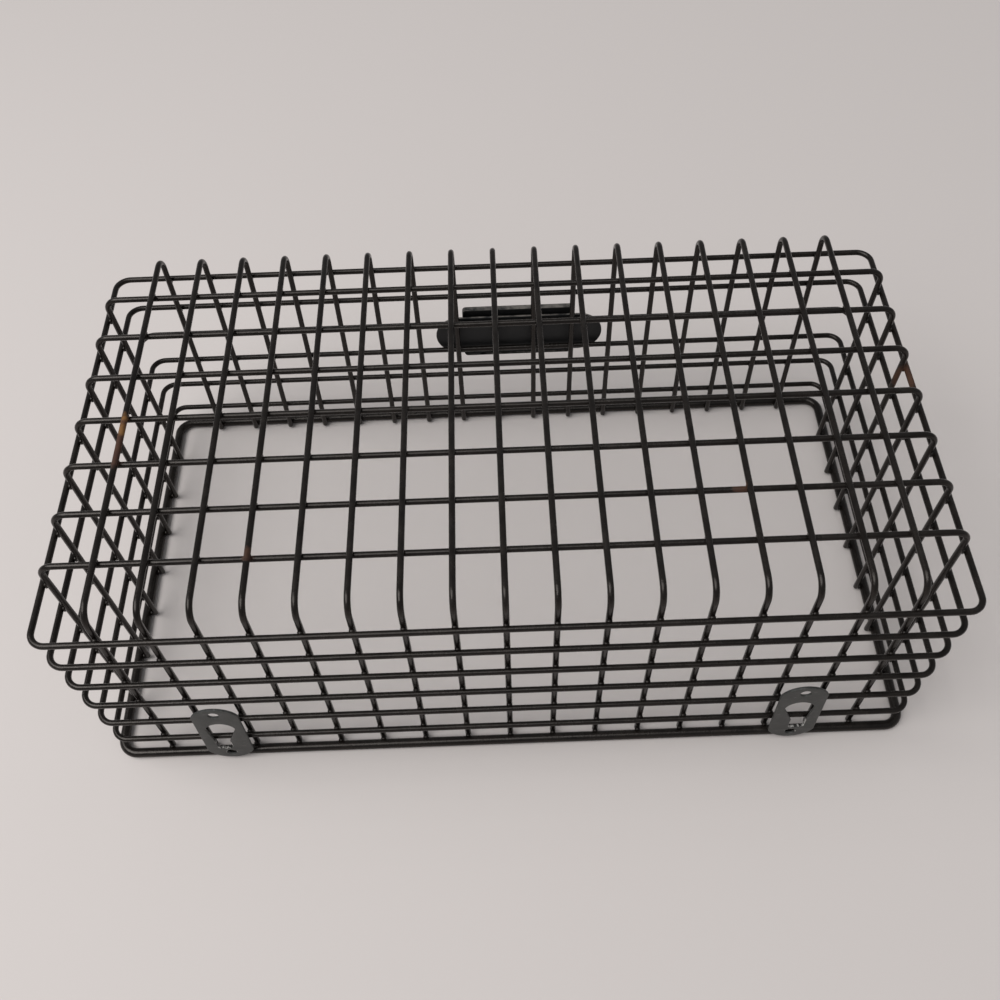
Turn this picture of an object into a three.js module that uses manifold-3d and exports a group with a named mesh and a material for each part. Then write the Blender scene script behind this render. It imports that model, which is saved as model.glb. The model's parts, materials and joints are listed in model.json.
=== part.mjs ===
// Welded wire basket for a wall, standing on its mouth as it does on a table.
// Millimetres. The rim rests on z = 0 and the closed face of the basket is on top.
// X runs along the length, -Y is the side that hangs against the wall, +Y carries the label holder.
// In use the basket is turned over, so that its mouth is up, and hangs on two screws by the hanger plates.

import * as THREE from 'three';
import { mergeVertices } from 'three/addons/utils/BufferGeometryUtils.js';
import Module from 'manifold-3d';

// Wire and rod
const WIRE_D = 2.7;          // wire of the grid and of the rings
const RIM_D = 4.5;           // rod round the mouth
const WELD_GAP = 0.3;        // gap left where two pieces are welded
const WIRE_SIDES = 8;
const RIM_SIDES = 12;
const BEND_STEPS = 6;        // stations in each bend

// Grid of the closed face
const CROSS_COUNT = 17;      // wires that run from the wall side to the label side
const CROSS_PITCH = 20;
const CROSS_BEND_R = 7;      // centre line radius where a cross wire turns down
const LONG_COUNT = 7;        // wires that run along the length, under the cross wires
const LONG_PITCH = 24.5;
const LONG_BEND_R = 6;
const END_GAP = 23.5;        // last cross wire to the legs of the long wires
const SIDE_GAP = 25.3;       // last long wire to the legs of the cross wires

// Rings round the walls, counted from the closed face
const RING_COUNT = 6;
const RING_PITCH = 19.15;
const RING_CORNER_R = 6.5;   // centre line radius
const FACE_TO_RING = 16.5;   // closed face to the first ring
const RING_TO_RIM = 15;      // last ring to the rim
const RIM_CORNER_R = 7.5;
const LEG_RISE = 1.2;        // the cut ends of the legs stay this far off the table

// The walls lean in a little towards the mouth
const END_LEAN = 4;          // each end
const WALL_LEAN = 2.5;       // wall side and label side

// Hanger plates on the wall side
const PLATE_T = 1.2;
const HANGER_W = 21;
const HANGER_ARCH = 7;       // height of the arched ends
const HANGER_CLEAR = 3.8;    // top edge below the ring above it
const HANGER_RISE = 2.4;     // bottom edge above the table
const HANGER_PITCH_STEPS = 13;   // the two plates stand this many cross pitches apart
const HANGER_RING_NO = 5;    // ring that the upper part of a plate is welded to
const HOLE_D = 4.8;
const HOLE_INSET = 5.2;      // hole centre from the end of the plate
const SLOT_W = 13.2;         // wide end, where a screw head goes in
const SLOT_NECK = 6.8;       // narrow end, where the screw hangs
const SLOT_SKEW = 1.6;       // the narrow end lies this far towards the end of the basket
const SLOT_THROAT = 6;       // straight sides above the teeth
const SLOT_CROWN = 6;        // height of the wide end's arch
const SLOT_FOOT = 9.2;       // teeth from the rim end of the plate
const SLOT_HEAD = 13.5;      // crown from the other end
const TOOTH_COUNT = 3;
const TOOTH_H = 1.8;

// Label holder on the label side
const LABEL_X = 12.5;
const LABEL_RING_NO = 3;     // the plate spans this ring and the next
const LABEL_LAP = 2;         // plate edge beyond those rings
const LABEL_DROP = 1.5;      // plate centre below the middle of the two rings
const LABEL_PLATE_W = 88;
const TRAY_W = 59;
const TRAY_LAP = 4;          // tray edge beyond the plate's edge
const TRAY_DEPTH = 3;
const TRAY_CORNER = 2;
const SHEET_T = 0.8;
const CARD_SLOT = 0.8;       // room for a card behind the frame
const CARD_EDGE = 2;         // solid edge beside the card
const FRAME_W = 5;           // width of the frame round the window

const wasm = await Module();
wasm.setup();
const { Manifold, Mesh: SolidMesh } = wasm;

// Paint
function paint(color, roughness, metalness) {
  return new THREE.MeshStandardMaterial({ color, roughness, metalness });
}

const wirePaint = () => paint(0x1d1a18, 0.38, 0.25);
const platePaint = () => paint(0x35332f, 0.55, 0.35);
const labelPaint = () => paint(0x1b1b1c, 0.6, 0.15);

// Heights
const rimZ = RIM_D / 2;
const lastRingZ = rimZ + RING_TO_RIM;
const ringZ = (number) => lastRingZ + (RING_COUNT - number) * RING_PITCH;
const crossZ = ringZ(1) + FACE_TO_RING;
const longZ = crossZ - WIRE_D - WELD_GAP;

// Places of the legs at a height
const endX = ((CROSS_COUNT - 1) / 2) * CROSS_PITCH + END_GAP;
const wallY = ((LONG_COUNT - 1) / 2) * LONG_PITCH + SIDE_GAP;
const leanAt = (lean, z) => lean * (1 - z / crossZ);
const endAt = (z) => endX - leanAt(END_LEAN, z);
const nearAt = (z) => -wallY + leanAt(WALL_LEAN, z);
const farAt = (z) => wallY - leanAt(WALL_LEAN, z);
const ringOut = WIRE_D + WELD_GAP;
const rimOut = WIRE_D / 2 + WELD_GAP + RIM_D / 2;

// A curve given by its stations, so that a straight run takes one step and a bend takes several.
class WirePath extends THREE.Curve {
  constructor(stations) {
    super();
    this.stations = stations;
  }

  station(u) {
    const last = this.stations.length - 1;
    return this.stations[Math.round(u * last)];
  }

  getPointAt(u, target = new THREE.Vector3()) {
    return target.copy(this.station(u).point);
  }

  getTangentAt(u, target = new THREE.Vector3()) {
    return target.copy(this.station(u).tangent);
  }
}

// Stations of the round bend at a corner between two straight runs.
function bendStations(before, corner, after, radius) {
  const into = new THREE.Vector3().subVectors(corner, before).normalize();
  const out = new THREE.Vector3().subVectors(after, corner).normalize();
  const turn = into.angleTo(out);
  const axis = new THREE.Vector3().crossVectors(into, out).normalize();
  const start = corner.clone().addScaledVector(into, -radius * Math.tan(turn / 2));
  const toCentre = new THREE.Vector3().crossVectors(axis, into);
  const centre = start.clone().addScaledVector(toCentre, radius);
  const stations = [];
  for (let step = 0; step <= BEND_STEPS; step++) {
    const angle = (turn * step) / BEND_STEPS;
    const spoke = toCentre.clone().negate().applyAxisAngle(axis, angle);
    stations.push({
      point: centre.clone().addScaledVector(spoke, radius),
      tangent: into.clone().applyAxisAngle(axis, angle),
    });
  }
  return stations;
}

// Round section with its corners on the nominal circle.
function roundSection(diameter, sides) {
  const corners = [];
  for (let side = 0; side < sides; side++) {
    const angle = (2 * Math.PI * side) / sides;
    corners.push(new THREE.Vector2(Math.cos(angle), Math.sin(angle)).multiplyScalar(diameter / 2));
  }
  return new THREE.Shape(corners);
}

// Wire with two cut ends, bent at each inner corner.
function bentWire(corners, radius) {
  const first = corners[0];
  const last = corners[corners.length - 1];
  const setOff = new THREE.Vector3().subVectors(corners[1], first).normalize();
  const stations = [{ point: first, tangent: setOff }];
  for (let n = 1; n < corners.length - 1; n++) {
    stations.push(...bendStations(corners[n - 1], corners[n], corners[n + 1], radius));
  }
  stations.push({ point: last, tangent: stations[stations.length - 1].tangent.clone() });
  return new THREE.ExtrudeGeometry(roundSection(WIRE_D, WIRE_SIDES), {
    steps: stations.length - 1,
    extrudePath: new WirePath(stations),
  });
}

// Wire bent into a closed hoop that lies round the walls at one height.
function hoop(z, out, radius, diameter, sides) {
  const x = endAt(z) + out;
  const near = nearAt(z) - out;
  const far = farAt(z) + out;
  const corners = [
    new THREE.Vector3(-x, near, z),
    new THREE.Vector3(x, near, z),
    new THREE.Vector3(x, far, z),
    new THREE.Vector3(-x, far, z),
  ];
  const stations = [];
  corners.forEach((corner, n) => {
    stations.push(...bendStations(corners[(n + 3) % 4], corner, corners[(n + 1) % 4], radius));
  });
  stations.push(stations[0]);
  return new THREE.TubeGeometry(new WirePath(stations), stations.length - 1, diameter / 2, sides, true);
}

const basket = new THREE.Group();
basket.name = 'wire_wall_basket';

function add(name, geometry, material) {
  const mesh = new THREE.Mesh(geometry, material);
  mesh.name = name;
  basket.add(mesh);
  return mesh;
}

// Rim and rings
add('rim_rod', hoop(rimZ, rimOut, RIM_CORNER_R, RIM_D, RIM_SIDES), wirePaint());
for (let number = 1; number <= RING_COUNT; number++) {
  const ring = hoop(ringZ(number), ringOut, RING_CORNER_R, WIRE_D, WIRE_SIDES);
  add(`ring_wire_${number}`, ring, wirePaint());
}

// Cross wires: up the wall side, over the closed face and down the label side
const crossGeometry = bentWire(
  [
    new THREE.Vector3(0, nearAt(LEG_RISE), LEG_RISE),
    new THREE.Vector3(0, nearAt(crossZ), crossZ),
    new THREE.Vector3(0, farAt(crossZ), crossZ),
    new THREE.Vector3(0, farAt(LEG_RISE), LEG_RISE),
  ],
  CROSS_BEND_R,
);
for (let number = 1; number <= CROSS_COUNT; number++) {
  const wire = add(`cross_wire_${String(number).padStart(2, '0')}`, crossGeometry, wirePaint());
  wire.position.x = (number - (CROSS_COUNT + 1) / 2) * CROSS_PITCH;
}

// Long wires: up one end, under the cross wires and down the other end
const longGeometry = bentWire(
  [
    new THREE.Vector3(-endAt(LEG_RISE), 0, LEG_RISE),
    new THREE.Vector3(-endAt(longZ), 0, longZ),
    new THREE.Vector3(endAt(longZ), 0, longZ),
    new THREE.Vector3(endAt(LEG_RISE), 0, LEG_RISE),
  ],
  LONG_BEND_R,
);
for (let number = 1; number <= LONG_COUNT; number++) {
  const wire = add(`long_wire_${number}`, longGeometry, wirePaint());
  wire.position.y = ((LONG_COUNT + 1) / 2 - number) * LONG_PITCH;
}

// A hanger plate lies against the rim and one ring, which stand out by different amounts,
// so its back face is the common tangent of the two.
const holderRingZ = ringZ(HANGER_RING_NO);
const rimReach = RIM_D / 2 + WELD_GAP;
const ringReach = WIRE_D / 2 + WELD_GAP;
const rimY = nearAt(rimZ) - rimOut;
const holderRingY = nearAt(holderRingZ) - ringOut;
const riseY = holderRingY - rimY;
const riseZ = holderRingZ - rimZ;
const hangerTilt = Math.atan2(riseY, riseZ) + Math.asin((rimReach - ringReach) / Math.hypot(riseY, riseZ));
const footAbove = (HANGER_RISE - rimZ - rimReach * Math.sin(hangerTilt)) / Math.cos(hangerTilt);
const hangerFootY = rimY - rimReach * Math.cos(hangerTilt) + footAbove * Math.sin(hangerTilt);
const hangerTopZ = ringZ(HANGER_RING_NO - 1) - WIRE_D / 2 - HANGER_CLEAR;
const hangerL = (hangerTopZ - HANGER_RISE) / Math.cos(hangerTilt);

// Plate outline with arched ends, two round holes and a slot that narrows to a toothed end.
// Side is -1 for the left plate and 1 for the right one, whose slots are mirrored.
function hangerShape(side) {
  const half = HANGER_W / 2;
  const archR = (half * half + HANGER_ARCH * HANGER_ARCH) / (2 * HANGER_ARCH);
  const archAngle = Math.asin(half / archR);
  const outline = new THREE.Shape();
  outline.absarc(0, archR, archR, 1.5 * Math.PI - archAngle, 1.5 * Math.PI + archAngle, false);
  outline.absarc(0, hangerL - archR, archR, 0.5 * Math.PI - archAngle, 0.5 * Math.PI + archAngle, false);
  outline.closePath();
  for (const y of [HOLE_INSET, hangerL - HOLE_INSET]) {
    outline.holes.push(new THREE.Path().absarc(0, y, HOLE_D / 2, 0, 2 * Math.PI, true));
  }
  const slot = new THREE.Path();
  const wide = SLOT_W / 2;
  const neckLeft = side * SLOT_SKEW - SLOT_NECK / 2;
  const neckRight = neckLeft + SLOT_NECK;
  const tipY = SLOT_FOOT + TOOTH_H;
  const crownY = hangerL - SLOT_HEAD;
  const crownR = (wide * wide + SLOT_CROWN * SLOT_CROWN) / (2 * SLOT_CROWN);
  const crownAngle = Math.asin(Math.min(1, wide / crownR));
  slot.absarc(0, crownY - crownR, crownR, 0.5 * Math.PI - crownAngle, 0.5 * Math.PI + crownAngle, false);
  slot.lineTo(neckLeft, tipY + SLOT_THROAT);
  for (let tooth = 0; tooth < TOOTH_COUNT; tooth++) {
    const left = neckLeft + (SLOT_NECK * tooth) / TOOTH_COUNT;
    const notch = left + SLOT_NECK / TOOTH_COUNT / 2;
    slot.lineTo(left, tipY);
    slot.lineTo(notch, SLOT_FOOT);
  }
  slot.lineTo(neckRight, tipY);
  slot.lineTo(neckRight, tipY + SLOT_THROAT);
  slot.closePath();
  outline.holes.push(slot);
  return outline;
}

for (const [name, side] of [['hanger_plate_left', -1], ['hanger_plate_right', 1]]) {
  const plate = add(name, slab(hangerShape(side), 0, PLATE_T, 10), platePaint());
  plate.rotation.x = Math.PI / 2 - hangerTilt;
  plate.position.set((side * HANGER_PITCH_STEPS * CROSS_PITCH) / 2, hangerFootY, HANGER_RISE);
}

// Label holder: a round-ended plate across two rings, and a shallow tray with a card frame behind it.
// Both are drawn with y towards the mouth, which is up in use, and z away from the basket.
const labelZ = (ringZ(LABEL_RING_NO) + ringZ(LABEL_RING_NO + 1)) / 2 - LABEL_DROP;
const labelPlateH = RING_PITCH + WIRE_D + 2 * LABEL_LAP;
const labelBackY = farAt(ringZ(LABEL_RING_NO)) + ringOut + WIRE_D / 2 + WELD_GAP;
const trayH = labelPlateH + 2 * TRAY_LAP;

function roundEnded(width, height) {
  const radius = height / 2;
  const x = width / 2 - radius;
  const outline = new THREE.Shape();
  outline.absarc(x, 0, radius, -Math.PI / 2, Math.PI / 2, false);
  outline.absarc(-x, 0, radius, Math.PI / 2, 1.5 * Math.PI, false);
  outline.closePath();
  return outline;
}

function roundedRect(width, height, radius, lift = 0) {
  const x = width / 2 - radius;
  const y = height / 2 - radius;
  const outline = new THREE.Shape();
  outline.absarc(x, y + lift, radius, 0, Math.PI / 2, false);
  outline.absarc(-x, y + lift, radius, Math.PI / 2, Math.PI, false);
  outline.absarc(-x, -y + lift, radius, Math.PI, 1.5 * Math.PI, false);
  outline.absarc(x, -y + lift, radius, 1.5 * Math.PI, 2 * Math.PI, false);
  outline.closePath();
  return outline;
}

function slab(shape, from, to, curveSegments = 3) {
  const depth = to - from;
  const geometry = new THREE.ExtrudeGeometry(shape, { depth, bevelEnabled: false, curveSegments });
  return geometry.translate(0, 0, from);
}

function toSolid(geometry) {
  const bare = new THREE.BufferGeometry();
  bare.setAttribute('position', geometry.getAttribute('position'));
  bare.setIndex(geometry.getIndex());
  const merged = mergeVertices(bare, 1e-4);
  return new Manifold(new SolidMesh({
    numProp: 3,
    vertProperties: Float32Array.from(merged.getAttribute('position').array),
    triVerts: Uint32Array.from(merged.getIndex().array),
  }));
}

function toGeometry(solid) {
  const mesh = solid.getMesh();
  const geometry = new THREE.BufferGeometry();
  geometry.setAttribute('position', new THREE.BufferAttribute(Float32Array.from(mesh.vertProperties), 3));
  geometry.setIndex(new THREE.BufferAttribute(Uint32Array.from(mesh.triVerts), 1));
  geometry.computeVertexNormals();
  return geometry;
}

function placeLabel(mesh, backY) {
  mesh.rotation.x = -Math.PI / 2;
  mesh.position.set(LABEL_X, backY, labelZ);
}

const labelPlate = slab(roundEnded(LABEL_PLATE_W, labelPlateH), 0, PLATE_T, 12);
placeLabel(add('label_plate', labelPlate, labelPaint()), labelBackY);

// The tray is open towards the basket; its outer face holds a card that slides in from the mouth side.
const frameFace = TRAY_DEPTH + CARD_SLOT + SHEET_T;
const cardW = TRAY_W - 2 * CARD_EDGE;
const windowW = TRAY_W - 2 * FRAME_W;
const windowH = trayH - 2 * FRAME_W;
const block = toSolid(slab(roundedRect(TRAY_W, trayH, TRAY_CORNER), 0, frameFace));
const hollowR = TRAY_CORNER - SHEET_T / 2;
const hollow = toSolid(slab(
  roundedRect(TRAY_W - 2 * SHEET_T, trayH - 2 * SHEET_T, hollowR), -SHEET_T, TRAY_DEPTH - SHEET_T));
const card = toSolid(slab(
  roundedRect(cardW, trayH, TRAY_CORNER / 2, CARD_EDGE), TRAY_DEPTH, TRAY_DEPTH + CARD_SLOT));
const cardWindow = toSolid(slab(
  roundedRect(windowW, windowH, TRAY_CORNER), TRAY_DEPTH + CARD_SLOT / 2, frameFace + SHEET_T));
const trayGeometry = toGeometry(block.subtract(hollow).subtract(card).subtract(cardWindow));
placeLabel(add('label_frame', trayGeometry, labelPaint()), labelBackY + PLATE_T + WELD_GAP);

// The origin is under the middle of the whole outline.
const outlineBox = new THREE.Box3().setFromObject(basket);
const middle = outlineBox.getCenter(new THREE.Vector3());
basket.position.set(-middle.x, -middle.y, -outlineBox.min.z);

export default basket;
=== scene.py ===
"""Dresses the wire wall basket: round painted wires, weld beads, hanger plates and the label holder."""

import json
import math

import bpy
from bpy.props import FloatProperty, FloatVectorProperty, IntProperty, PointerProperty
from mathutils import Matrix, Vector


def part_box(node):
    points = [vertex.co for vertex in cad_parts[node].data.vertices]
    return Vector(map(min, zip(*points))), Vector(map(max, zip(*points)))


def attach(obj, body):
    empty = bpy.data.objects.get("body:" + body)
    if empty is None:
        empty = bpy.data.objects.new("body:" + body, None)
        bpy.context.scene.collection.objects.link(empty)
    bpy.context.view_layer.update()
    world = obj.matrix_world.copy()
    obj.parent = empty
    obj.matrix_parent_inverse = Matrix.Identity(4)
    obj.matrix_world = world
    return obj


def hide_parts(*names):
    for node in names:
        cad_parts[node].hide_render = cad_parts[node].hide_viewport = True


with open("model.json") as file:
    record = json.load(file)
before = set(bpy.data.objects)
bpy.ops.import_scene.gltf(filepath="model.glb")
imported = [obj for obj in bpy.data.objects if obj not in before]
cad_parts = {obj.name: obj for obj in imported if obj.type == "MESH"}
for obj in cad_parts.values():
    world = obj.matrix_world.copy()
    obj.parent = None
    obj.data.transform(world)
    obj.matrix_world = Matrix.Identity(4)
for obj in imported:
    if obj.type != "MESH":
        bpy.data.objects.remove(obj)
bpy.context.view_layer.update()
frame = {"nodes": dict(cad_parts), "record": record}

bl_info = {
    "name": "Wire Wall Basket",
    "version": (1, 0, 0),
    "blender": (4, 5, 0),
    "location": "3D View > Sidebar > Basket",
    "description": "Dresses a welded wire basket with painted wires, weld beads and sheet fittings",
    "category": "Object",
}

CROSS_WIRES = sorted(node for node in frame["nodes"] if node.startswith("cross_wire"))
LONG_WIRES = sorted(node for node in frame["nodes"] if node.startswith("long_wire"))
RING_WIRES = sorted(node for node in frame["nodes"] if node.startswith("ring_wire"))
HANGERS = {"hanger_plate_left": "hanger_left", "hanger_plate_right": "hanger_right"}


class WireSizes(bpy.types.PropertyGroup):
    """Sizes of the wires, the rim and their welds."""

    wire: FloatProperty(
        name="Wire", description="Diameter of the wires", default=0.0027, unit="LENGTH")
    rim: FloatProperty(
        name="Rim", description="Diameter of the rim rod", default=0.0045, unit="LENGTH")
    weld_gap: FloatProperty(
        name="Weld gap", description="Gap that the weld beads close", default=0.0003, unit="LENGTH")
    cross_bend: FloatProperty(
        name="Cross bend", description="Bend radius of a cross wire", default=0.007, unit="LENGTH")
    long_bend: FloatProperty(
        name="Long bend", description="Bend radius of a long wire", default=0.006, unit="LENGTH")
    ring_corner: FloatProperty(
        name="Ring corner", description="Corner radius of a ring", default=0.0065, unit="LENGTH")
    rim_corner: FloatProperty(
        name="Rim corner", description="Corner radius of the rim", default=0.0075, unit="LENGTH")
    end_round: FloatProperty(
        name="End round", description="Rounding of the cut wire ends", default=0.0008, unit="LENGTH")
    run_step: FloatProperty(
        name="Run step", description="Length of one step of a straight run", default=0.012, unit="LENGTH")
    wire_sides: IntProperty(name="Wire sides", description="Sides of the round wire", default=16)
    rim_sides: IntProperty(name="Rim sides", description="Sides of the round rim rod", default=24)
    bend_steps: IntProperty(name="Bend steps", description="Steps in each bend", default=9)
    bead_width: FloatProperty(
        name="Bead width", description="Width of a weld bead", default=0.0033, unit="LENGTH")
    bead_height: FloatProperty(
        name="Bead height", description="Height of a weld bead", default=0.0022, unit="LENGTH")
    bead_lump: FloatProperty(
        name="Bead lump", description="Unevenness of the weld beads", default=0.0003, unit="LENGTH")
    bead_pinch: FloatProperty(
        name="Bead pinch", description="Share of the bead's width along the wires", default=0.8,
        subtype="FACTOR")


class PlateSizes(bpy.types.PropertyGroup):
    """Sizes of the hanger plates and of the label holder."""

    thickness: FloatProperty(
        name="Plate", description="Thickness of the plates", default=0.0012, unit="LENGTH")
    edge_round: FloatProperty(
        name="Edge round", description="Rounding of the sheet edges", default=0.0003, unit="LENGTH")
    arch: FloatProperty(
        name="Arch", description="Height of the arched plate ends", default=0.007, unit="LENGTH")
    hole: FloatProperty(
        name="Hole", description="Diameter of the round holes", default=0.0048, unit="LENGTH")
    hole_inset: FloatProperty(
        name="Hole inset", description="Hole centre from the plate's end", default=0.0052, unit="LENGTH")
    slot_width: FloatProperty(
        name="Slot width", description="Wide end of the slot", default=0.0132, unit="LENGTH")
    slot_neck: FloatProperty(
        name="Slot neck", description="Narrow end of the slot", default=0.0068, unit="LENGTH")
    slot_skew: FloatProperty(
        name="Slot skew", description="Narrow end from the plate's middle", default=0.0016, unit="LENGTH")
    slot_throat: FloatProperty(
        name="Slot throat", description="Straight sides above the teeth", default=0.006, unit="LENGTH")
    slot_crown: FloatProperty(
        name="Slot crown", description="Height of the slot's arch", default=0.006, unit="LENGTH")
    slot_foot: FloatProperty(
        name="Slot foot", description="Teeth from the plate's rim end", default=0.0092, unit="LENGTH")
    slot_head: FloatProperty(
        name="Slot head", description="Slot crown from the other end", default=0.0135, unit="LENGTH")
    tooth_height: FloatProperty(
        name="Tooth", description="Height of the slot's teeth", default=0.0018, unit="LENGTH")
    tooth_count: IntProperty(name="Teeth", description="Teeth in the slot", default=3)
    sheet: FloatProperty(
        name="Tray sheet", description="Sheet of the label tray", default=0.0006, unit="LENGTH")
    tray_depth: FloatProperty(
        name="Tray depth", description="Depth of the label tray", default=0.0016, unit="LENGTH")
    tray_corner: FloatProperty(
        name="Tray corner", description="Corner radius of the tray", default=0.002, unit="LENGTH")
    card_slot: FloatProperty(
        name="Card slot", description="Room for the card", default=0.0007, unit="LENGTH")
    card_edge: FloatProperty(
        name="Card edge", description="Solid edge beside the card", default=0.002, unit="LENGTH")
    frame_width: FloatProperty(
        name="Frame width", description="Width of the card frame", default=0.005, unit="LENGTH")
    tray_edge: FloatProperty(
        name="Tray edge", description="Rounding of the tray's edges", default=0.00018, unit="LENGTH")


class PaintLook(bpy.types.PropertyGroup):
    """Colours of the paint, its worn spots and its rust, and of its painted glints and highlights."""

    wire_black: FloatVectorProperty(
        name="Wire paint", description="Black paint of the wires", subtype="COLOR", size=4,
        default=(0.0036, 0.0026, 0.0022, 1.0))
    wire_faded: FloatVectorProperty(
        name="Faded paint", description="Thin or faded black paint", subtype="COLOR", size=4,
        default=(0.0084, 0.0064, 0.0053, 1.0))
    # Pale grey laid on upward faces: settled grime on the wires; on the label tray it is a painted
    # highlight.
    dust_and_highlight: FloatVectorProperty(
        name="Dust", description="Dust that lies on top", subtype="COLOR", size=4,
        default=(0.21, 0.19, 0.17, 1.0))
    rust_dark: FloatVectorProperty(
        name="Old rust", description="Dark red-brown rust", subtype="COLOR", size=4,
        default=(0.048, 0.020, 0.015, 1.0))
    rust_light: FloatVectorProperty(
        name="Fresh rust", description="Orange-brown rust", subtype="COLOR", size=4,
        default=(0.185, 0.088, 0.026, 1.0))
    plate_grey: FloatVectorProperty(
        name="Plate paint", description="Worn dark paint of the hanger plates", subtype="COLOR", size=4,
        default=(0.034, 0.0345, 0.0325, 1.0))
    # Bright bare metal of worn edges and scratches; at the slot's teeth it also stands for painted glints.
    worn_metal_and_glint: FloatVectorProperty(
        name="Worn edge", description="Metal that shows at worn edges", subtype="COLOR", size=4,
        default=(0.42, 0.41, 0.39, 1.0))
    label_black: FloatVectorProperty(
        name="Label paint", description="Matt black paint of the label holder", subtype="COLOR", size=4,
        default=(0.0088, 0.0088, 0.0092, 1.0))
    # High share at the slot's teeth: partly worn paint, partly painted glints.
    tooth_wear_and_glint: FloatProperty(
        name="Tooth wear", description="Wear of the paint at the slot's teeth", default=2.0)
    rim_wear: FloatProperty(
        name="Edge wear", description="Wear of the paint at the hanger plates' other edges", default=0.1)


class StageLook(bpy.types.PropertyGroup):
    """Floor, light and camera."""

    floor: FloatVectorProperty(
        name="Floor", description="Colour of the floor", subtype="COLOR", size=4,
        default=(0.63, 0.58, 0.555, 1.0))
    floor_size: FloatProperty(
        name="Floor size", description="Side of the square floor", default=40.0, unit="LENGTH")
    floor_gap: FloatProperty(
        name="Floor gap", description="Gap between the floor and the rim", default=0.0002, unit="LENGTH")
    key_place: FloatVectorProperty(
        name="Key place", description="Where the large lamp hangs", subtype="TRANSLATION",
        default=(-0.75, -0.25, 0.95))
    key_length: FloatProperty(
        name="Key length", description="Long side of the large lamp", default=1.2, unit="LENGTH")
    key_width: FloatProperty(
        name="Key width", description="Short side of the large lamp", default=0.6, unit="LENGTH")
    key_power: FloatProperty(
        name="Key lamp", description="Power of the large lamp", default=6.5, unit="POWER")
    window: FloatProperty(
        name="Window", description="Strength of the broad light that reaches the whole floor", default=1.45)
    window_place: FloatVectorProperty(
        name="Window place", description="Where the broad light comes from", subtype="TRANSLATION",
        default=(-0.4, -0.3, 1.3))
    window_spread: FloatProperty(
        name="Window spread", description="Angle that the broad light fills", subtype="ANGLE",
        default=math.radians(50))
    aim: FloatVectorProperty(
        name="Aim", description="Where the lamps point", subtype="TRANSLATION", default=(0.0, 0.0, 0.06))
    sky: FloatProperty(name="Sky", description="Strength of the even light", default=0.30)
    sky_tint: FloatVectorProperty(
        name="Sky tint", description="Colour of the even light", subtype="COLOR", size=4,
        default=(0.93, 0.96, 1.0, 1.0))
    camera_place: FloatVectorProperty(
        name="Camera place", description="Where the camera stands", subtype="TRANSLATION",
        default=(0.00004, -0.30351, 0.48387))
    camera_turn: FloatVectorProperty(
        name="Camera turn", description="How the camera is turned", subtype="EULER",
        default=(0.612928, 0.023044, -0.029844))
    camera_lens: FloatProperty(
        name="Lens", description="Focal length on a 36 mm sensor", default=38.88, unit="CAMERA")


def wires():
    return bpy.context.scene.basket_wires


def plates():
    return bpy.context.scene.basket_plates


def paint():
    return bpy.context.scene.basket_paint


def object_mode():
    if bpy.context.object and bpy.context.object.mode != "OBJECT":
        bpy.ops.object.mode_set(mode="OBJECT")


def choose(*pieces):
    """Selects these objects alone and makes the first one active."""
    object_mode()
    bpy.ops.object.select_all(action="DESELECT")
    for piece in pieces:
        piece.select_set(True)
    if pieces:
        bpy.context.view_layer.objects.active = pieces[0]


def settle(piece, smooth=40):
    """Puts the piece's place into its mesh and shades it."""
    choose(piece)
    bpy.ops.object.transform_apply(location=True, rotation=True, scale=True)
    bpy.ops.object.shade_smooth_by_angle(angle=math.radians(smooth))


def dress(piece, material, slot, *nodes):
    """Gives a piece its finish, the body that it rides on and the solids that it stands for."""
    piece.data.materials.clear()
    piece.data.materials.append(material)
    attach(piece, "root")
    if nodes:
        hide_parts(*nodes)


def pick_edges(piece, wanted):
    """Selects the edges whose two ends pass the test, in edit mode."""
    choose(piece)
    bpy.ops.object.mode_set(mode="EDIT")
    bpy.ops.mesh.select_mode(type="EDGE")
    bpy.ops.mesh.select_all(action="DESELECT")
    bpy.ops.object.mode_set(mode="OBJECT")
    mesh = piece.data
    for edge in mesh.edges:
        ends = [mesh.vertices[index].co for index in edge.vertices]
        edge.select = wanted(*ends)
    bpy.ops.object.mode_set(mode="EDIT")


def apply_modifier(piece, kind, **values):
    """Adds a modifier with these values and applies it."""
    choose(piece)
    modifier = piece.modifiers.new(kind.title(), kind)
    for key, value in values.items():
        setattr(modifier, key, value)
    bpy.ops.object.modifier_apply(modifier=modifier.name)


def middle(node):
    """Middle of a solid's box."""
    low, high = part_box(node)
    return (low + high) / 2


# Wires

def run_straight(start, end):
    """Extrudes the selected section from one point to another in even steps."""
    way = end - start
    steps = max(1, round(way.length / wires().run_step))
    for _ in range(steps):
        bpy.ops.mesh.extrude_region_move(TRANSFORM_OT_translate={"value": way / steps})


def run_bend(before, corner, after, radius, start):
    """Extrudes the section up to a corner and spins it round; returns where the bend ends."""
    into = (corner - before).normalized()
    out = (after - corner).normalized()
    turn = into.angle(out)
    axis = into.cross(out).normalized()
    reach = radius * math.tan(turn / 2)
    bend_start = corner - into * reach
    run_straight(start, bend_start)
    centre = bend_start + axis.cross(into) * radius
    bpy.ops.mesh.spin(steps=wires().bend_steps, angle=-turn, center=centre, axis=axis)
    return corner + out * reach


def begin_section(name, place, heading, diameter, sides, fill):
    choose()
    bpy.ops.mesh.primitive_circle_add(
        vertices=sides, radius=diameter / 2, fill_type=fill,
        location=place, rotation=heading.to_track_quat("Z", "Y").to_euler())
    piece = bpy.context.object
    piece.name = name
    bpy.ops.object.transform_apply(location=True, rotation=True, scale=True)
    bpy.ops.object.mode_set(mode="EDIT")
    bpy.ops.mesh.select_all(action="SELECT")
    return piece


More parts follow.
